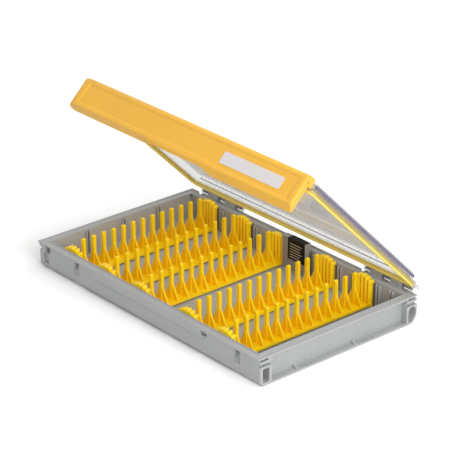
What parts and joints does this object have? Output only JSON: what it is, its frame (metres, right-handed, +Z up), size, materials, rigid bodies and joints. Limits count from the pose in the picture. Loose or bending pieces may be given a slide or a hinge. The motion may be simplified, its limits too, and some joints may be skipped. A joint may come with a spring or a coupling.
{
  "type": "jig box",
  "caption": "Flat tackle box: shallow tray with upright toothed racks for jigs, moisture pack, clear hinged lid with seal, and a full-width swinging latch bar.",
  "frame": {"origin": "on the tray's flat underside, at the middle of the tray's 356 by 214.3 mm footprint", "axes": "+X along the long side and the hinge line, -Y towards the latch side, +Z up; the lid is stored 45 degrees open as in the picture"},
  "size_m": [0.356, 0.2232, 0.2043],
  "materials": {
    "tray_grey": "fine satin moulded grey polypropylene",
    "rack_yellow": "satin bright yellow moulded plastic",
    "latch_orange": "satin orange-yellow moulded plastic",
    "lid_clear": "clear polished plastic",
    "seal_yellow": "soft yellow rubber",
    "pin_steel": "drawn steel wire",
    "label_white": "matt write-on film",
    "pack_grey": "rough perforated grey plastic",
    "pack_fill": "pressed drying clay",
    "label_black": "plain black film, no lettering"
  },
  "bodies": {
    "tray_body": {"tray": "tray_grey", "hinge_pin_left": "pin_steel", "hinge_pin_right": "pin_steel", "rack_1": "rack_yellow", "rack_2": "rack_yellow", "rack_3": "rack_yellow", "rack_4": "rack_yellow", "rack_5": "rack_yellow", "dry_pack_case": "pack_grey", "dry_pack_core": "pack_fill", "dry_pack_back": "pack_grey", "dry_pack_label": "label_black"},
    "lid": {"lid_shell": "lid_clear", "lid_seal": "seal_yellow", "latch_pin": "pin_steel"},
    "latch": {"latch_bar": "latch_orange", "latch_label": "label_white"}
  },
  "joints": [
    {"name": "lid_hinge", "type": "hinge", "parent": "tray_body", "child": "lid", "pos_m": [0, 0.11245, 0.0308], "axis": [-1, 0, 0], "range_deg": [-45, 135]},
    {"name": "latch_hinge", "type": "hinge", "parent": "lid", "child": "latch", "pos_m": [0, -0.04683, 0.198], "axis": [-1, 0, 0], "range_deg": [-5, 60]}
  ]
}
